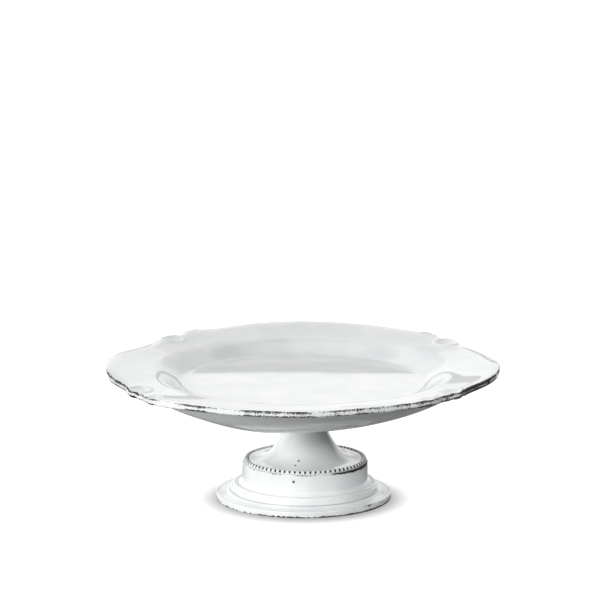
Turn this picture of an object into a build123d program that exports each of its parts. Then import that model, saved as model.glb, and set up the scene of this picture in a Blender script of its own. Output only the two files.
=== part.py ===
"""Hand-made glazed cake stand on a trumpet foot, as the pieces that are luted together.

Millimetres, +Z up. The origin is on the table, on the axis of the foot. The stand is hollow from
below: the open foot leads through the stem's bore to the space between the plate and its bowl.
"""
from build123d import *
import os
from math import cos, pi, radians, sin, tan

# Overall sizes
plate_radius = 160.0        # axis to the crown of the side lobes
stand_height = 110.5        # table to the top of the rim at plate_radius

# Plate
rim_thickness = 5.0
rim_slope = 7.0             # degrees, the rim rises outwards
well_radius = 95.0          # flat floor of the well
wall_run = 23.0             # the sloped wall of the well, seen from above
wall_rise = 9.6
floor_thickness = 6.5
well_bend = 12.0            # radius of the bend between floor and wall

# Rim outline: how far each feature lies inside plate_radius, and its angle from the X axis
side_flank = (13.0, 1.9)    # (degrees, inset)
side_shoulder = (27.0, 9.6)
lobe_start = (32.0, 8.6)
lobe_crown = (37.6, 4.6)
notch = (41.5, 9.4)
bump = (47.0, 2.6)
dip = (57.5, 5.2)
crown_flank = (74.0, 1.2)

# Under bowl: its underside, from the lip to the flat at the neck
bowl_lip_inset = 14.0       # from plate_radius
bowl_wall = 7.0             # measured upwards
bowl_belly = (28.0, 21.5)   # (inwards from the lip, depth below the rim top)
bowl_hip = (50.0, 31.0)
bowl_waist = (60.0, 38.2)   # (radius, depth below the rim top)
bowl_flat_radius = 26.0
bowl_flat_depth = 43.5      # below the rim top

# Stem
neck_radius = 17.5
neck_length = 7.0
bore_radius = 10.5
stem_wall = 6.5
skirt_thickness = 6.0
stem_mid = (19.6, 22.1)     # (radius, height above the drum's top)
stem_low = (23.8, 13.5)
stem_curl = (28.2, 4.9)
skirt_bend = (8.6, 1.2)     # (inwards from the skirt's edge, height above the drum's top)
skirt_crown = 0.6           # the skirt's edge stands this far above the drum's top

# Slip fillets
neck_fillet = 5.0
drum_fillet = 2.6

# Base
drum_radius = 50.9
drum_height = 17.3
rebate_lip = 5.3            # wall left outside the rebate that takes the stem's skirt
rebate_ledge = 4.1          # width of the ledge that the skirt sits on
step_reach = 8.6            # the step ring stands this far out from the drum
step_height = 6.2
flange_reach = 11.5         # the flange stands this far out from the step ring
flange_edge = 4.9
flange_height = 6.8
flange_ledge = 3.5          # the flange's bore is this much wider than the drum's
dish_gap = 2.0              # from the step ring to where the flange's dished top begins

# Bead string
bead_radius = 1.65
bead_pitch = 4.1
strip_width = 3.6
strip_height = 1.5
bead_inset = 2.8            # drum's outside to the middle of the beads

# Sizes that follow from those above
wall_radius = well_radius + wall_run
bowl_lip_radius = plate_radius - bowl_lip_inset
rebate_radius = drum_radius - rebate_lip
drum_bore_radius = rebate_radius - rebate_ledge
step_radius = drum_radius + step_reach
flange_radius = step_radius + flange_reach
flange_bore_radius = drum_bore_radius + flange_ledge
step_base = flange_height
drum_base = step_base + step_height
drum_top = drum_base + drum_height
skirt_seat = drum_top + skirt_crown - skirt_thickness
neck_top = stand_height - bowl_flat_depth


def rim_top(radius):
    """Height of the rim's upper face at a radius."""
    return stand_height - (plate_radius - radius) * tan(radians(rim_slope))


def rim_point(place):
    """Point of the rim's outline from (degrees, inset)."""
    angle, inset = place
    radius = plate_radius - inset
    return Vector(radius * cos(radians(angle)), radius * sin(radians(angle)))


def turned(edges):
    """Solid of revolution about Z from the closed outline of edges in the XZ plane."""
    return revolve(make_face(edges), Axis.Z)


def ring(inner, outer, bottom, top):
    """Plain ring of rectangular section."""
    section = Polyline((inner, 0, bottom), (outer, 0, bottom), (outer, 0, top), (inner, 0, top), close=True)
    return turned(section.edges())


def rim_quarter():
    """A quarter of the lobed outline: side lobe, small lobe, sharp notch, then front lobe."""
    side = [(0.0, 0.0), side_flank, side_shoulder, lobe_start, lobe_crown, notch]
    front = [notch, bump, dip, crown_flank, (90.0, 0.0)]
    side_ends = [(0, 1), rim_point(notch) - rim_point(lobe_crown)]
    front_ends = [rim_point(bump) - rim_point(notch), (-1, 0)]
    side_edge = Spline(*[rim_point(p) for p in side], tangents=side_ends, tangent_scalars=[1, 1])
    front_edge = Spline(*[rim_point(p) for p in front], tangents=front_ends, tangent_scalars=[1, 1])
    return [side_edge, front_edge]


def rim_outline():
    """The whole outline: the quarter, mirrored across both axes."""
    quarter = rim_quarter()
    half = quarter + [e.mirror(Plane.YZ) for e in quarter]
    return make_face(half + [e.mirror(Plane.XZ) for e in half])


def make_plate():
    """Plate: a turned blank, cut to the lobed outline."""
    reach = plate_radius + rim_thickness
    floor_top = rim_top(wall_radius) - wall_rise
    floor_base = floor_top - floor_thickness
    blank = Polyline(
        (0, 0, floor_base),
        (well_radius + floor_thickness / 2, 0, floor_base),
        (wall_radius + rim_thickness / 2, 0, rim_top(wall_radius) - rim_thickness),
        (reach, 0, rim_top(reach) - rim_thickness),
        (reach, 0, rim_top(reach)),
        (wall_radius, 0, rim_top(wall_radius)),
        (well_radius, 0, floor_top),
        (0, 0, floor_top),
        close=True,
    )
    section = make_face(blank.edges())
    bends = [v for v in section.vertices() if well_radius - 1 < v.X < wall_radius + rim_thickness]
    turned_blank = revolve(fillet(bends, well_bend), Axis.Z)
    return turned_blank & extrude(rim_outline(), 2 * stand_height)


def make_under_bowl(plate):
    """Bowl under the plate: open at the neck, its lip trimmed to the plate's underside."""
    belly = (bowl_lip_radius - bowl_belly[0], bowl_belly[1])
    hip = (bowl_lip_radius - bowl_hip[0], bowl_hip[1])
    places = [(bowl_flat_radius, bowl_flat_depth), bowl_waist, hip, belly]
    points = [Vector(radius, 0, stand_height - depth) for radius, depth in places]
    lip = Vector(bowl_lip_radius, 0, rim_top(bowl_lip_radius) - rim_thickness)
    outside = Spline(*points, lip)
    lift = Vector(0, 0, bowl_wall)
    inside = outside.translate(lift)
    flat = Line((bore_radius, 0, neck_top), outside @ 0)
    bore = Line((bore_radius, 0, neck_top), Vector(bore_radius, 0, neck_top) + lift)
    flat_inside = flat.translate(lift)
    edge = Line(outside @ 1, inside @ 1)
    blank = turned([flat, outside, edge, inside, flat_inside, bore])
    return (blank - plate).solids().sort_by(Axis.Z)[0]


def make_stem():
    """Hollow trumpet stem: a straight neck, then a flare into a flat skirt."""
    bend = (rebate_radius - skirt_bend[0], skirt_bend[1])
    places = [stem_mid, stem_low, stem_curl, bend]
    points = [Vector(radius, 0, drum_top + height) for radius, height in places]
    neck_low = Vector(neck_radius, 0, neck_top - neck_length)
    rim = Vector(rebate_radius, 0, drum_top + skirt_crown)
    down, outwards = (0, 0, -1), (1, 0, 0)
    flare = Spline(neck_low, *points, rim, tangents=[down, outwards], tangent_scalars=[1, 1])
    mouth = Vector(drum_bore_radius, 0, skirt_seat)
    hollow = Spline(
        (bore_radius, 0, neck_top - neck_length),
        (stem_low[0] - stem_wall, 0, drum_top + stem_low[1] - skirt_thickness / 2),
        mouth,
        tangents=[down, outwards],
        tangent_scalars=[1, 1],
    )
    return turned([
        Line((neck_radius, 0, neck_top), neck_low),
        flare,
        Line(rim, (rebate_radius, 0, skirt_seat)),
        Line((rebate_radius, 0, skirt_seat), mouth),
        hollow,
        Line(hollow @ 0, (bore_radius, 0, neck_top)),
        Line((bore_radius, 0, neck_top), (neck_radius, 0, neck_top)),
    ])


def make_fillet_ring(radius, height, size, up):
    """Concave slip fillet in the corner of a cylinder and a flat: above the flat if up, else below."""
    reach = size if up else -size
    corner = Vector(radius, 0, height)
    on_flat = Vector(radius + size, 0, height)
    on_side = Vector(radius, 0, height + reach)
    middle = Vector(radius + size * (1 - sin(radians(45))), 0, height + reach * (1 - sin(radians(45))))
    cove = ThreePointArc(on_flat, middle, on_side)
    return turned([Line(corner, on_flat), cove, Line(on_side, corner)])


def make_drum():
    """Base drum: a short tube with a rebate at the top for the skirt."""
    tube = ring(drum_bore_radius, drum_radius, drum_base, drum_top)
    return tube - ring(0, rebate_radius, skirt_seat, drum_top)


def make_bead_string():
    """Strip of pearls on the drum's top edge."""
    middle = drum_radius - bead_inset
    strip = ring(middle - strip_width / 2, middle + strip_width / 2, drum_top, drum_top + strip_height)
    count = round(2 * pi * middle / bead_pitch)
    pearl = Pos(0, 0, drum_top + bead_radius) * Sphere(bead_radius)
    pearls = [Rot(0, 0, 360 * i / count) * Pos(middle, 0, 0) * pearl for i in range(count)]
    return strip.fuse(*pearls)


def make_step_ring():
    """Moulding under the drum, with a half-round outside."""
    blank = ring(drum_bore_radius, step_radius, step_base, drum_base)
    rims = [e for e in blank.edges().filter_by(GeomType.CIRCLE) if e.radius > drum_radius]
    return fillet(rims, step_height * 0.45)


def make_foot_flange():
    """Bottom ring with a dished top, an upright edge and an open middle."""
    seat = Vector(step_radius + dish_gap, 0, flange_height)
    edge_top = Vector(flange_radius, 0, flange_edge)
    dish = Spline(seat, edge_top, tangents=[(0.3, 0, -1), (1, 0, -0.1)], tangent_scalars=[1, 1])
    return turned([
        Line((flange_bore_radius, 0, 0), (flange_radius, 0, 0)),
        Line((flange_radius, 0, 0), edge_top),
        dish,
        Line(seat, (flange_bore_radius, 0, flange_height)),
        Line((flange_bore_radius, 0, flange_height), (flange_bore_radius, 0, 0)),
    ])


plate = make_plate()
nodes = {
    "plate": plate,
    "under_bowl": make_under_bowl(plate),
    "neck_slip": make_fillet_ring(neck_radius, neck_top, neck_fillet, up=False),
    "stem": make_stem(),
    "bead_string": make_bead_string(),
    "drum": make_drum(),
    "drum_slip": make_fillet_ring(drum_radius, drum_base, drum_fillet, up=True),
    "step_ring": make_step_ring(),
    "foot_flange": make_foot_flange(),
}

os.makedirs("parts", exist_ok=True)
for name, shape in nodes.items():
    shape.label = name
    export_step(shape, f"parts/{name}.step")
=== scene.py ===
"""Hand-made cake stand in milk-white glaze over dark clay: the finished surfaces around the CAD frame.

Metres, +Z up, the origin on the table under the centre of the foot. Each piece is turned from a
section, as a potter's template would cut it, and then bent and dented by hand.
"""
from math import ceil, cos, exp, pi, radians, sin, sqrt, tan

import bpy
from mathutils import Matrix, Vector, noise


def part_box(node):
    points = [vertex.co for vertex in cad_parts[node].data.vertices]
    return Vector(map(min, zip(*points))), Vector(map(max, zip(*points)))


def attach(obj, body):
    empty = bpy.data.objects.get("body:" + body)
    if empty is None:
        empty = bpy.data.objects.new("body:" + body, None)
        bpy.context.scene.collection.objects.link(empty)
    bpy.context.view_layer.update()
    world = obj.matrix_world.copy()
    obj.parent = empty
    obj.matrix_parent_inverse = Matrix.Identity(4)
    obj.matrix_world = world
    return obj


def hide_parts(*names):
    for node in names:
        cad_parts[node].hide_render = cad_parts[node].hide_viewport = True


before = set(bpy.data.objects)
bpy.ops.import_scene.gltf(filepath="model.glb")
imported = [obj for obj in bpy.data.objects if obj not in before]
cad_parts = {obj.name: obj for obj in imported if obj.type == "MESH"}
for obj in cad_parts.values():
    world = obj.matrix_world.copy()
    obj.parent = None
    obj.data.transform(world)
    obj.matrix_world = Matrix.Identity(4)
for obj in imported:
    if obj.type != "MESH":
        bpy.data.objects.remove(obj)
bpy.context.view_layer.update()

MM = 0.001

# Sizes read from the frame
plate_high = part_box("plate")[1]
stem_low, stem_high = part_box("stem")
drum_low, drum_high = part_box("drum")
step_low, step_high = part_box("step_ring")
foot_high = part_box("foot_flange")[1]
beads_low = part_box("bead_string")[0]
slip_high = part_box("drum_slip")[1]

PLATE_RADIUS = plate_high.x
RIM_TOP = plate_high.z

# Plate section
RIM_THICKNESS = 5.0 * MM
RIM_SLOPE = tan(radians(7.0))
WELL_RADIUS = 101.0 * MM
WALL_RADIUS = 118.0 * MM
WALL_RISE = 9.6 * MM
FLOOR_THICKNESS = 6.5 * MM
EDGE_ROLL = 9.0 * MM         # the rim's top rolls down over this width before its edge
EDGE_DROP = 0.7 * MM
WEAR_WIDTH = 1.5 * MM        # wear falls away from an edge over this width
WEAR_REACH = 3.3 * MM        # and ends this far from it

# Hollows
BORE_RADIUS = 10.5 * MM      # through the bowl's neck and the stem
DRUM_BORE = 41.5 * MM
BOWL_WALL = 7.0 * MM

# The rim's outline in each quarter: (degrees from the side lobe's crown, mm inside PLATE_RADIUS).
# A mould made by hand: the quarters are alike, not the same.
BACK_RIGHT = [
    (0, 0.8), (13, 4.0), (26, 8.4), (31, 8.8), (36, 5.2), (41.5, 8.8),
    (47.5, 1.8), (57, 5.0), (74, 1.2), (90, 0),
]
BACK_LEFT = [
    (0, 0), (14, 1.5), (28, 9.4), (34, 9.8), (42.5, 4.8), (47.4, 8.4),
    (53.5, 1.8), (62, 6.0), (75, 1.5), (90, 0),
]
FRONT_LEFT = [
    (0, 0), (10, 1.6), (18.5, 6.6), (22, 7.0), (27.5, 4.0), (33, 7.2),
    (39, 3.2), (52, 5.4), (72, 1.4), (90, 0),
]
FRONT_RIGHT = [
    (0, 0.8), (11, 2.4), (24, 8.0), (30, 8.4), (37, 4.8), (43.6, 8.2),
    (50, 3.6), (60, 5.6), (74, 1.6), (90, 0),
]
NOTCH = 5                    # place of the sharp notch in each list
LOBE = 4                     # place of the small lobe's crown
BUMP = 6                     # place of the big lobe's rounded end


# ---------------------------------------------------------------- shapes

def smooth(value):
    """0 below 0, 1 above 1, and an S curve between."""
    t = min(max(value, 0.0), 1.0)
    return t * t * (3 - 2 * t)


def bell(distance, width):
    """1 at no distance, falling away over a width."""
    return exp(-(distance / width) ** 2)


def around(angle, centre):
    """Signed difference of two angles, in degrees, from -180 to 180."""
    return (angle - centre + 180.0) % 360.0 - 180.0


def through(places, x, corner):
    """Smooth curve through places, with a sharp corner at one of them."""
    last = len(places) - 1
    i = max(k for k in range(last) if places[k][0] <= x)

    def slope(k, side):
        if k == 0 or k == last:
            return 0.0
        if k == corner:
            a, b = (places[k - 1], places[k]) if side < 0 else (places[k], places[k + 1])
            return 1.2 * (b[1] - a[1]) / (b[0] - a[0])
        (x0, y0), (x1, y1) = places[k - 1], places[k + 1]
        return (y1 - y0) / (x1 - x0)

    (x0, y0), (x1, y1) = places[i], places[i + 1]
    run = x1 - x0
    t = (x - x0) / run
    m0, m1 = slope(i, 1) * run, slope(i + 1, -1) * run
    return (
        (2 * t ** 3 - 3 * t ** 2 + 1) * y0
        + (t ** 3 - 2 * t ** 2 + t) * m0
        + (3 * t ** 2 - 2 * t ** 3) * y1
        + (t ** 3 - t ** 2) * m1
    )


def quarter_of(angle):
    """The quarter that an angle in degrees lies in, and its angle from the side lobe's crown."""
    a = angle % 360.0
    if a < 90:
        return BACK_RIGHT, a
    if a < 180:
        return BACK_LEFT, 180 - a
    if a < 270:
        return FRONT_LEFT, a - 180
    return FRONT_RIGHT, 360 - a


def rim_edge(angle):
    """Radius of the rim's outline at an angle in degrees."""
    places, a = quarter_of(angle)
    return PLATE_RADIUS - MM * through(places, a, NOTCH)


def corner_wear(point, corners):
    """Wear at a point of a section: each marked corner's, falling away and ending at WEAR_REACH. The step's
    groove corner gets painted shade this way, not wear.
    """
    gaps = [((point - Vector((c[0], c[1]))).length, c[3]) for c in corners if c[3] > 0]
    return max([wear * bell(gap, WEAR_WIDTH) for gap, wear in gaps if gap < WEAR_REACH], default=0.0)


def rounded(corners, closed, step=2.0 * MM, arc=6):
    """Points (radius, height, wear) of a section from its corners (radius, height, bend, wear)."""
    count = len(corners)
    places = [Vector((c[0], c[1])) for c in corners]
    starts, ends = [], []
    for i, place in enumerate(places):
        before, after = places[i - 1], places[(i + 1) % count]
        if not closed and i in (0, count - 1):
            starts.append(place)
            ends.append(place)
            continue
        reach = min(corners[i][2], 0.48 * (before - place).length, 0.48 * (after - place).length)
        starts.append(place + (before - place).normalized() * reach)
        ends.append(place + (after - place).normalized() * reach)
    points = []
    for i, place in enumerate(places):
        a, b = starts[i], ends[i]
        if (b - a).length < 1e-7:
            points.append(place)
        else:
            for k in range(arc + 1):
                t = k / arc
                points.append((1 - t) ** 2 * a + 2 * t * (1 - t) * place + t * t * b)
        if closed or i < count - 1:
            following = starts[(i + 1) % count]
            run = (following - b).length
            parts = ceil(run / step)
            points += [b.lerp(following, k / parts) for k in range(1, parts)]
    clean = [p for i, p in enumerate(points) if i == 0 or (p - points[i - 1]).length > 1e-6]
    return [(p.x, p.y, corner_wear(p, corners)) for p in clean]


def turned(name, section, count, place, closed):
    """Mesh piece of revolution. place(radius, height, degrees, wear) gives each point and its wear."""
    verts, wears, faces = [], [], []
    rings = []
    for radius, height, wear in section:
        if radius < 1e-6:
            rings.append([len(verts)] * count)
            point, worn = place(0.0, height, 0.0, wear)
            verts.append(point)
            wears.append(worn)
            continue
        rings.append(list(range(len(verts), len(verts) + count)))
        for j in range(count):
            point, worn = place(radius, height, 360.0 * j / count, wear)
            verts.append(point)
            wears.append(worn)
    pairs = list(zip(rings, rings[1:]))
    if closed:
        pairs.append((rings[-1], rings[0]))
    for low, high in pairs:
        for j in range(count):
            k = (j + 1) % count
            corners = [low[j], high[j], high[k], low[k]]
            faces.append(list(dict.fromkeys(corners)))
    mesh = bpy.data.meshes.new(name)
    mesh.from_pydata(verts, [], faces)
    mesh.validate()
    worn_layer = mesh.attributes.new("wear", "FLOAT", "POINT")
    worn_layer.data.foreach_set("value", wears)
    mesh.shade_smooth()
    piece = bpy.data.objects.new(name, mesh)
    bpy.context.scene.collection.objects.link(piece)
    return piece


def on_circle(radius, angle, height):
    """Point at a radius, an angle in degrees and a height."""
    return Vector((radius * cos(radians(angle)), radius * sin(radians(angle)), height))


def ripple(point, size, amount):
    """Hand-made unevenness: a smooth change of up to about amount, over a size."""
    return amount * noise.noise(point / size)


# Where the rim moved up or down in the kiln: (angle, width in degrees, mm at the rim)
KILN_WARP = [(212, 28, -4.0), (288, 14, 0.8), (345, 18, -0.8), (20, 14, -0.8)]
RIM_TILT = 1.35              # mm, up at the back and down at the front


def plate_sag(radius, angle):
    """How far the rim warped in the kiln: the well stayed flat, the left front went down most."""
    share = smooth((radius - WELL_RADIUS) / (PLATE_RADIUS - WELL_RADIUS))
    warp = RIM_TILT * sin(radians(angle))
    warp += sum(amount * bell(around(angle, centre), width) for centre, width, amount in KILN_WARP)
    return MM * share * warp


# ---------------------------------------------------------------- plate

def lobe_relief(radius, angle):
    """Height of the pressed relief: an oval scoop in each small lobe and a curl at the big lobes' ends.
    It moves the plate's upper and under faces alike, so a scoop shows as a bump below."""
    places, a = quarter_of(angle)
    height = 0.0
    for index, half_width, length, depth, ridge in (
        (LOBE, 9.5 * MM, 17.0 * MM, 1.4 * MM, 0.9 * MM),
        (BUMP, 7.0 * MM, 10.0 * MM, 0.8 * MM, 0.5 * MM),
    ):
        centre, inset = places[index]
        crown = PLATE_RADIUS - MM * inset
        across = radians(a - centre) * radius
        inwards = crown - radius
        u = across / half_width
        v = (inwards - 0.5 * length) / (0.5 * length)
        q = sqrt(u * u + v * v)
        height -= depth * smooth(1.15 - q)
        height += ridge * bell(q - 1.05, 0.15)
    return height


def plate_place(radius, height, angle, wear):
    """A point of the plate, from its place in the section."""
    edge = rim_edge(angle)
    r = radius
    if radius > WALL_RADIUS:
        r = WALL_RADIUS + (radius - WALL_RADIUS) * (edge - WALL_RADIUS) / (PLATE_RADIUS - WALL_RADIUS)
    z = height - (radius - r) * RIM_SLOPE
    z -= EDGE_DROP * smooth((r - edge + EDGE_ROLL) / EDGE_ROLL) ** 2
    z += lobe_relief(r, angle) + plate_sag(r, angle)
    point = on_circle(r, angle, z)
    hand = smooth((radius - WELL_RADIUS) / (20 * MM))
    point.z += ripple(point, 45 * MM, 0.012 * MM + 0.4 * MM * hand)
    out = ripple(point + Vector((0, 0, 1)), 14 * MM, 0.35 * MM * smooth((radius - WALL_RADIUS) / (20 * MM)))
    point += on_circle(out, angle, 0)
    share, spread = rim_wear(angle)
    return point, share * wear ** (1 / spread)


def rim_wear(angle):
    """How far the rim's edge is darkened, and how widely: bare clay where the glaze pulled off, most on the
    right front, and a darker, wider band at the left tip.
    """
    right_front = bell(around(angle, -24), 17)
    front = bell(around(angle, -72), 34)
    left_front = bell(around(angle, 238), 22)
    share = 0.44 + 0.5 * right_front + 0.2 * front + 0.2 * left_front
    share += 0.35 * bell(around(angle, 88), 9) + 0.3 * bell(around(angle, 208), 7)
    # The edge band at the left tip is made darker and wider
    left_tip = bell(around(angle, 194), 11)
    share += 0.3 * left_tip
    spread = 1.3 + 4.0 * right_front + 3.3 * front + 1.2 * left_front + 2.2 * left_tip
    return share, spread


def make_plate():
    """Lobed plate, one closed skin: well, wall, rim, edge and underside."""
    top = RIM_TOP
    wall_top = top - (PLATE_RADIUS - WALL_RADIUS) * RIM_SLOPE
    floor = wall_top - WALL_RISE
    under = floor - FLOOR_THICKNESS
    edge = PLATE_RADIUS
    section = rounded([
        (0, floor, 0, 0),
        (WELL_RADIUS, floor, 3 * MM, 0),
        (WALL_RADIUS, wall_top, 6 * MM, 0),
        (edge, top, 1.3 * MM, 1.0),
        (edge - 0.6 * MM, top - RIM_THICKNESS, 1.3 * MM, 0.9),
        (WALL_RADIUS + 3 * MM, wall_top - RIM_THICKNESS, 5 * MM, 0),
        (WELL_RADIUS + 3 * MM, under, 5 * MM, 0),
        (0, under, 0, 0),
    ], closed=False)
    return turned("lobed_plate", section, 1080, plate_place, closed=False)


# ---------------------------------------------------------------- bowl under the plate

def bowl_place(radius, height, angle, wear):
    """A point of the bowl: it follows the plate's warp, and its own belly hangs lowest at the left front."""
    belly = smooth((radius - 25 * MM) / (35 * MM)) * smooth((RIM_TOP - 8 * MM - height) / (15 * MM))
    hang = -4.2 * MM * belly * bell(around(angle, 250), 45)
    point = on_circle(radius, angle, height + plate_sag(radius, angle) + hang)
    point.z += ripple(point, 50 * MM, 0.5 * MM)
    return point, wear


def make_bowl():
    """Shallow hollow bowl: it carries the plate and closes down to the neck."""
    def below(depth):
        return RIM_TOP - depth * MM

    neck = stem_high.z
    lip = RIM_TOP - (PLATE_RADIUS - 149 * MM) * RIM_SLOPE - RIM_THICKNESS
    section = rounded([
        (BORE_RADIUS, neck, 1 * MM, 0),
        (26 * MM, neck, 8 * MM, 0),
        (60 * MM, below(38.2), 16 * MM, 0),
        (98 * MM, below(31.0), 16 * MM, 0),
        (122 * MM, below(20.0), 14 * MM, 0),
        (141 * MM, lip - 2.2 * MM, 7 * MM, 0),
        (149.5 * MM, lip + 0.1 * MM, 0.2 * MM, 0),
        (138 * MM, lip + 0.6 * MM, 3 * MM, 0),
        (118 * MM, below(14.5), 12 * MM, 0),
        (96 * MM, below(24.0), 14 * MM, 0),
        (60 * MM, below(31.2), 14 * MM, 0),
        (BORE_RADIUS, neck + BOWL_WALL, 1 * MM, 0),
    ], closed=True, step=3 * MM)
    return turned("under_bowl_shell", section, 360, bowl_place, closed=True)


# ---------------------------------------------------------------- stem, drum and foot

# How far the stem and base shift to the right at each height: (mm, mm)
LEAN = [(0.0, 0.0), (9.0, 0.4), (15.0, 1.3), (45.0, 1.6), (67.0, 0.6)]


def lean(height):
    """Sideways lean of the stem and base at a height."""
    h = min(max(height / MM, LEAN[0][0]), LEAN[-1][0])
    for (h0, x0), (h1, x1) in zip(LEAN, LEAN[1:]):
        if h <= h1:
            return MM * (x0 + (x1 - x0) * smooth((h - h0) / (h1 - h0)))


def base_place(radius, height, angle, wear):
    """A point of the stem or the base, with a thrower's slight unevenness."""
    point = on_circle(radius, angle, height)
    point.x += lean(height)
    wave = ripple(point, 22 * MM, 0.35 * MM)
    point += on_circle(wave, angle, 0)
    return point, wear * base_wear(angle)


def base_wear(angle):
    """Wear of the base's edges: stronger on the right front."""
    return 0.5 + 0.75 * bell(around(angle, -36), 24) + 0.3 * bell(around(angle, 30), 34)


def make_stem():
    """Trumpet stem, hollow, with the slip fillet under the bowl."""
    top = drum_high.z
    neck = stem_high.z
    section = rounded([
        (BORE_RADIUS, neck, 1 * MM, 0),
        (22.0 * MM, neck, 0.5 * MM, 0),
        (17.8 * MM, neck - 4 * MM, 3 * MM, 0),
        (17.6 * MM, neck - 9 * MM, 3 * MM, 0),
        (20.2 * MM, top + 21.4 * MM, 6 * MM, 0),
        (28.0 * MM, top + 7.6 * MM, 6 * MM, 0),
        (36.5 * MM, top + 2.9 * MM, 6 * MM, 0),
        (46.0 * MM, top + 2.3 * MM, 0.4 * MM, 0),
        (46.0 * MM, top + 0.1 * MM, 0.1 * MM, 0),
        (45.4 * MM, top + 0.05 * MM, 0.1 * MM, 0),
        (45.4 * MM, stem_low.z, 1 * MM, 0),
        (41.0 * MM, stem_low.z, 1 * MM, 0),
        (27.0 * MM, stem_low.z + 5 * MM, 5 * MM, 0),
        (17.0 * MM, top + 10 * MM, 6 * MM, 0),
        (BORE_RADIUS, neck - 12 * MM, 6 * MM, 0),
    ], closed=True)
    return turned("trumpet_stem", section, 360, base_place, closed=True)


def make_drum():
    """Short drum with a worn top corner and a slip cove at its foot."""
    r, top, low = drum_high.x, drum_high.z, drum_low.z
    section = rounded([
        (r, top, 0.9 * MM, 1.0),
        (r, low + 2.4 * MM, 1.2 * MM, 0),
        (slip_high.x, low + 0.2 * MM, 0.5 * MM, 0),
        (slip_high.x, low, 0.1 * MM, 0),
        (DRUM_BORE, low, 1 * MM, 0),
        (DRUM_BORE, stem_low.z, 1 * MM, 0),
        (45.5 * MM, stem_low.z, 0.3 * MM, 0),
        (45.5 * MM, top, 0.3 * MM, 0),
    ], closed=True)
    return turned("base_drum", section, 480, base_place, closed=True)


BEAD_COUNT = 74
BEAD_STEPS = 14              # mesh steps along each bead
BEAD_ARC = 14                # mesh steps over each bead
BEAD_MIDDLE = drum_high.x - 2.8 * MM
STRIP_TOP = beads_low.z + 1.2 * MM


def bead_place(radius, height, angle, wear):
    """A point of the bead string: a plain strip below, one pearl after another above it."""
    turn = angle * BEAD_COUNT / 360.0
    u = 2 * (turn - round(turn))
    swell = 0.28 + 0.72 * sqrt(max(0.0, 1 - u * u))
    above = smooth((height - STRIP_TOP) / (0.5 * MM))
    pinch = 1 - above * (1 - swell)
    r = BEAD_MIDDLE + (radius - BEAD_MIDDLE) * pinch
    z = STRIP_TOP + (height - STRIP_TOP) * pinch if height > STRIP_TOP else height
    point = on_circle(r, angle, z)
    point.x += lean(height)
    # The gaps between the pearls are made dark, least at the back left
    bare = 1.3 - 1.0 * bell(around(angle, 125), 52)
    dark = above * smooth((abs(u) - 0.5) / 0.2) * bare
    return point, dark


def make_beads():
    """String of pearls on the drum's top edge, darker in the gaps between the pearls, least at the back
    left.
    """
    size = 1.7 * MM
    middle = beads_low.z + 1.5 * MM
    section = [(BEAD_MIDDLE + size, beads_low.z, 0.0)]
    section += [
        (BEAD_MIDDLE + size * cos(pi * k / BEAD_ARC), middle + size * sin(pi * k / BEAD_ARC), 0.0)
        for k in range(BEAD_ARC + 1)
    ]
    section += [(BEAD_MIDDLE - size, beads_low.z, 0.0)]
    return turned("pearl_string", section, BEAD_COUNT * BEAD_STEPS, bead_place, closed=True)


def make_step():
    """Moulding under the drum: a small round, a shallow groove, then a large half-round."""
    r, top, low = step_high.x, step_high.z, step_low.z
    section = rounded([
        (57.6 * MM, top, 1.2 * MM, 0),
        # The groove's inner corner, 0.12: painted shade, a few dark flecks in the groove
        (57.9 * MM, top - 1.5 * MM, 0.5 * MM, 0.12),
        (r, top - 1.7 * MM, 1.3 * MM, 0),
        (r, low, 1.6 * MM, 0),
        (DRUM_BORE, low, 0.5 * MM, 0),
        (DRUM_BORE, top, 0.5 * MM, 0),
    ], closed=True, step=1.5 * MM)
    return turned("step_moulding", section, 480, base_place, closed=True)


def foot_place(radius, height, angle, wear):
    """A point of the foot, with small chips out of its bottom edge."""
    point, worn = base_place(radius, height, angle, wear)
    chip = noise.noise(Vector((angle * 0.55, 3.0, height / (4 * MM))))
    chip += 0.35 * noise.noise(Vector((angle * 2.3, 9.0, 0.0)))
    near = smooth((radius - 69.5 * MM) / (1.2 * MM)) * smooth((2.1 * MM - height) / (1.4 * MM))
    point -= on_circle(near * max(0.0, chip) * 1.1 * MM, angle, 0)
    point.z = max(point.z, 0.0)
    side = 0.45 + 0.65 * bell(around(angle, -60), 60)
    return point, worn + near * side * (0.45 + smooth(chip * 3) * 0.7)


def make_foot():
    """Bottom flange: dished top, upright edge, open middle."""
    r, top = foot_high.x, foot_high.z
    section = rounded([
        (r, 5.1 * MM, 1.0 * MM, 0.5),
        (r, 0.0, 0.6 * MM, 0.5),
        (45 * MM, 0.0, 1 * MM, 0),
        (45 * MM, top, 0.5 * MM, 0),
        (61.0 * MM, top, 0.8 * MM, 0),
        (62.5 * MM, 5.4 * MM, 2.2 * MM, 0),
        (68.6 * MM, 4.6 * MM, 2.0 * MM, 0),
    ], closed=True, step=1.5 * MM)
    return turned("foot_ring", section, 720, foot_place, closed=True)


# ---------------------------------------------------------------- finishes

def linear(code):
    """An sRGB hex colour as linear RGBA."""
    values = [int(code[i:i + 2], 16) / 255 for i in (1, 3, 5)]
    return [v / 12.92 if v <= 0.04045 else ((v + 0.055) / 1.055) ** 2.4 for v in values] + [1.0]


def add(tree, kind, links=None, **settings):
    """Adds a node: settings set its sockets or its own values, links join its sockets to others."""
    made = tree.nodes.new(kind)
    for name, value in settings.items():
        if hasattr(made, name):
            setattr(made, name, value)
        else:
            made.inputs[name.replace("_", " ")].default_value = value
    for name, source in (links or {}).items():
        tree.links.new(source, made.inputs[name])
    return made


GLAZE_WHITE = "#eceeed"
GLAZE_COOL = "#dfe3e4"       # where the glaze is thin and the clay shows through it
CLAY_BLACK = "#2a2827"
DRY_CLAY_ROUGHNESS = 0.8
GLAZE_STEP = 0.2 * MM        # from the glaze down to the bare clay

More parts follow.
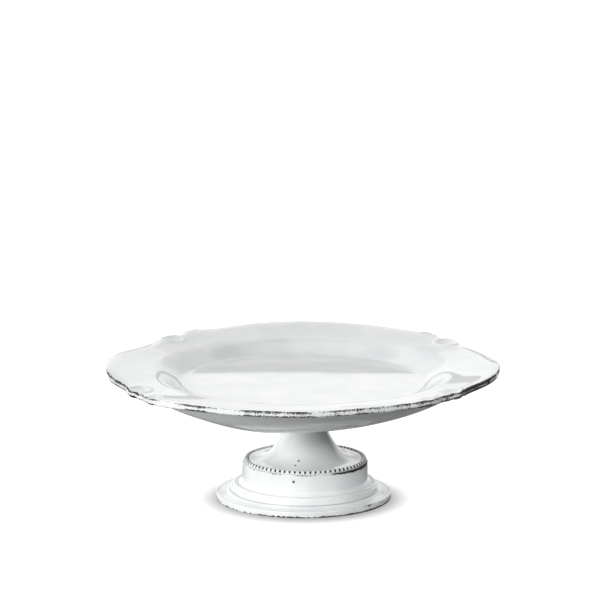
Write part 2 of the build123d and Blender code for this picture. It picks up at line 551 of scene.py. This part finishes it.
PINHOLES = [                 # (radius from axis, angle, height) in mm and degrees, and the hole's size
    (29.9, -100.2, 37.0, 0.85),
    (34.6, -103.4, 34.4, 0.8),
    (50.9, -100.4, 24.8, 1.0),
]


def milk_glaze(name, wave, gloss):
    """Milk-white tin glaze on black earthenware: deep wet gloss with a faint ripple of a given height,
    soft grey where the coat is thin, and dry dark clay where it has crawled back from the edges."""
    mat = bpy.data.materials.new(name)
    mat.use_nodes = True
    tree = mat.node_tree
    shader = tree.nodes["Principled BSDF"]
    shader.inputs["IOR"].default_value = 1.5
    place = add(tree, "ShaderNodeTexCoord").outputs["Object"]
    wear = add(tree, "ShaderNodeAttribute", attribute_name="wear").outputs["Fac"]

    # Glaze breaks up over the worn edges in flecks about 0.9 mm long, in patches of about 14 mm
    fleck = add(tree, "ShaderNodeTexNoise", {"Vector": place}, Scale=1 / (0.9 * MM), Detail=3.0)
    patch = add(tree, "ShaderNodeTexNoise", {"Vector": place}, Scale=1 / (14 * MM), Detail=2.0)
    noises = {0: fleck.outputs["Fac"], 2: patch.outputs["Fac"]}
    broken = add(tree, "ShaderNodeMath", noises, operation="MULTIPLY_ADD")
    broken.inputs[1].default_value = 1.6
    amount = add(tree, "ShaderNodeMath", {0: wear, 2: broken.outputs[0]}, operation="MULTIPLY_ADD")
    amount.inputs[1].default_value = 1.3
    sharp = {"interpolation_type": "SMOOTHSTEP", "From_Min": 1.93, "From_Max": 2.07}
    bare = add(tree, "ShaderNodeMapRange", {"Value": amount.outputs[0]}, **sharp)
    edge = add(tree, "ShaderNodeMath", {0: wear}, operation="GREATER_THAN")
    edge.inputs[1].default_value = 0.02
    worn = add(tree, "ShaderNodeMath", {0: bare.outputs["Result"], 1: edge.outputs[0]}, operation="MULTIPLY")
    mask = worn.outputs[0]

    # Pinholes: gas bubbles that burst and left the clay bare
    for radius, angle, height, size in PINHOLES:
        away = add(tree, "ShaderNodeVectorMath", {0: place}, operation="DISTANCE")
        centre = on_circle(radius * MM, angle, height * MM)
        centre.x += lean(height * MM)
        away.inputs[1].default_value = centre
        soft_edge = {"From_Min": size * MM * 1.4, "From_Max": size * MM * 0.7}
        hole = add(tree, "ShaderNodeMapRange", {"Value": away.outputs["Value"]}, **soft_edge)
        either = add(tree, "ShaderNodeMath", {0: mask, 1: hole.outputs["Result"]}, operation="MAXIMUM")
        mask = either.outputs[0]

    # The coat's thickness varies in drifts about 30 mm long
    drift = add(tree, "ShaderNodeTexNoise", {"Vector": place}, Scale=1 / (30 * MM), Detail=3.0)
    thin = add(tree, "ShaderNodeMapRange", {"Value": drift.outputs["Fac"]}, From_Min=0.35, From_Max=0.7)
    coats = {"data_type": "RGBA", "A": linear(GLAZE_WHITE), "B": linear(GLAZE_COOL)}
    glaze = add(tree, "ShaderNodeMix", {"Factor": thin.outputs["Result"]}, **coats)
    over_clay = {"Factor": mask, "A": glaze.outputs["Result"]}
    body = add(tree, "ShaderNodeMix", over_clay, data_type="RGBA", B=linear(CLAY_BLACK))
    tree.links.new(body.outputs["Result"], shader.inputs["Base Color"])

    # Glaze is wet and glossy, bare clay is dry
    rough = add(tree, "ShaderNodeMapRange", {"Value": mask}, To_Min=gloss, To_Max=DRY_CLAY_ROUGHNESS)
    tree.links.new(rough.outputs["Result"], shader.inputs["Roughness"])

    # A faint ripple in the glaze, 9 mm across, and the step down to the bare clay
    wavy = add(tree, "ShaderNodeTexNoise", {"Vector": place}, Scale=1 / (9 * MM), Detail=2.0)
    height = add(tree, "ShaderNodeMath", {0: mask, 2: wavy.outputs["Fac"]}, operation="MULTIPLY_ADD")
    height.inputs[1].default_value = -GLAZE_STEP / wave
    bump = add(tree, "ShaderNodeBump", {"Height": height.outputs[0]}, Strength=1.0, Distance=wave)
    tree.links.new(bump.outputs["Normal"], shader.inputs["Normal"])
    return mat


# The floor's glow is weakened around this centre: a painted shadow around the foot
GLOW_CENTRE = (0.001, -0.005, 0.0)
GLOW_FADED = 60 * MM         # the glow is weakest within this distance of its centre
GLOW_FULL = 93 * MM          # and full beyond this one


def floor_with_painted_shadow():
    """Opal acrylic table that glows white. The glow fades near the foot: that is a painted shadow, which
    draws a part of the soft shadow there."""
    mat = bpy.data.materials.new("glowing_table_with_painted_foot_shadow")
    mat.use_nodes = True
    shader = mat.node_tree.nodes["Principled BSDF"]
    shader.inputs["Base Color"].default_value = linear("#6c6c6c")
    shader.inputs["Roughness"].default_value = 0.9
    shader.inputs["Specular IOR Level"].default_value = 0.1
    shader.inputs["Emission Color"].default_value = linear("#ffffff")
    tree = mat.node_tree
    place = add(tree, "ShaderNodeTexCoord").outputs["Object"]
    away = add(tree, "ShaderNodeVectorMath", {0: place}, operation="DISTANCE")
    away.inputs[1].default_value = GLOW_CENTRE
    fade = {"interpolation_type": "SMOOTHSTEP", "From_Min": GLOW_FADED, "From_Max": GLOW_FULL}
    # The weaker glow near the foot is the painted shadow
    glow = add(tree, "ShaderNodeMapRange", {"Value": away.outputs["Value"]}, To_Min=0.26, To_Max=1.0, **fade)
    tree.links.new(glow.outputs["Result"], shader.inputs["Emission Strength"])
    return mat


# ---------------------------------------------------------------- pieces in place

plate_glaze = milk_glaze("milk_white_tin_glaze_on_black_earthenware", 0.0006 * MM, 0.02)
foot_glaze = milk_glaze("brushed_milk_glaze_on_black_earthenware", 0.02 * MM, 0.09)
for piece, nodes, slot_name, finish in (
    (make_plate(), ["plate"], "milk_glaze", plate_glaze),
    (make_bowl(), ["under_bowl"], "milk_glaze", foot_glaze),
    (make_stem(), ["stem", "neck_slip"], "milk_glaze", foot_glaze),
    (make_beads(), ["bead_string"], "worn_glaze", foot_glaze),
    (make_drum(), ["drum", "drum_slip"], "milk_glaze", foot_glaze),
    (make_step(), ["step_ring"], "milk_glaze", foot_glaze),
    (make_foot(), ["foot_flange"], "milk_glaze", foot_glaze),
):
    piece.data.materials.append(finish)
    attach(piece, "root")
    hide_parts(*nodes)


# ---------------------------------------------------------------- floor, light and camera

bpy.ops.mesh.primitive_plane_add(size=40.0)
floor = bpy.context.object
floor.name = "floor"
floor.data.materials.append(floor_with_painted_shadow())
# The floor neither lights the stand nor shows in its glaze
floor.visible_diffuse = False
floor.visible_glossy = False


def soft_box(name, centre, aim, width, height, radiance):
    """Soft box: a rectangular light facing a point, its strength given as radiance."""
    data = bpy.data.lights.new(name, "AREA")
    data.shape = "RECTANGLE"
    data.size, data.size_y = width, height
    data.energy = radiance * pi * width * height
    lamp = bpy.data.objects.new(name, data)
    lamp.location = centre
    lamp.rotation_euler = (Vector(aim) - Vector(centre)).to_track_quat("-Z", "Y").to_euler()
    lamp.visible_camera = False
    bpy.context.scene.collection.objects.link(lamp)
    return lamp


# The front of the well mirrors the strip light, its back part the dim card below that
soft_box("strip_light", (0.0, 1.2, 0.443), (0.0, 0.0, 0.443), 2.4, 0.16, 1.42)
soft_box("back_box", (0.0, 1.2, 1.003), (0.0, 0.0, 1.003), 2.4, 0.96, 1.05)
soft_box("dim_card", (0.0, 1.2, 0.332), (0.0, 0.0, 0.332), 2.4, 0.064, 0.5)
soft_box("low_card", (0.0, 1.2, 0.015), (0.0, 0.0, 0.015), 2.4, 0.57, 1.1)
soft_box("key_box", (-1.25, -0.8, 0.35), (0, 0, 0.05), 1.9, 0.5, 5.7)
soft_box("front_box", (0.4, -1.17, 0.7), (0, 0, 0.05), 1.6, 0.36, 6.6)
soft_box("left_card", (-1.35, 0.25, 0.26), (0, 0, 0.04), 1.4, 0.45, 1.7)
soft_box("right_box", (1.0, -0.7, 0.75), (0, 0, 0.03), 1.0, 0.35, 0.8)

world = bpy.data.worlds.new("studio")
bpy.context.scene.world = world
world.use_nodes = True
sky = world.node_tree
direction = add(sky, "ShaderNodeTexCoord").outputs["Generated"]
axes = add(sky, "ShaderNodeSeparateXYZ", {"Vector": direction})
# The studio is open and bright at the left and dark at the right
across = {"From_Min": -1.0, "From_Max": 1.0, "To_Min": 0.46, "To_Max": 0.04}
fill = add(sky, "ShaderNodeMapRange", {"Value": axes.outputs["X"]}, **across)
seen = add(sky, "ShaderNodeLightPath").outputs["Is Camera Ray"]
strength = add(sky, "ShaderNodeMath", {0: fill.outputs["Result"], 1: seen}, operation="MAXIMUM")
background = sky.nodes["Background"]
background.inputs["Color"].default_value = linear("#ffffff")
sky.links.new(strength.outputs[0], background.inputs["Strength"])

CAMERA_DISTANCE = 4.07
CAMERA_ELEVATION = 14.3      # of the line from the foot's centre to the camera
CAMERA_LIFT = 2.25           # the camera looks this much above that line, so the stand sits low
CAMERA_PAN = 0.04
camera_data = bpy.data.cameras.new("camera")
camera_data.lens = 300.0
camera_data.sensor_width = 36.0
camera_data.clip_start, camera_data.clip_end = 0.1, 100.0
camera = bpy.data.objects.new("camera", camera_data)
bpy.context.scene.collection.objects.link(camera)
elevation = radians(CAMERA_ELEVATION)
camera.location = (0, -CAMERA_DISTANCE * cos(elevation), CAMERA_DISTANCE * sin(elevation))
camera.rotation_euler = (radians(90 - CAMERA_ELEVATION + CAMERA_LIFT), 0, radians(CAMERA_PAN))
bpy.context.scene.camera = camera
bpy.context.scene.view_settings.view_transform = "Standard"
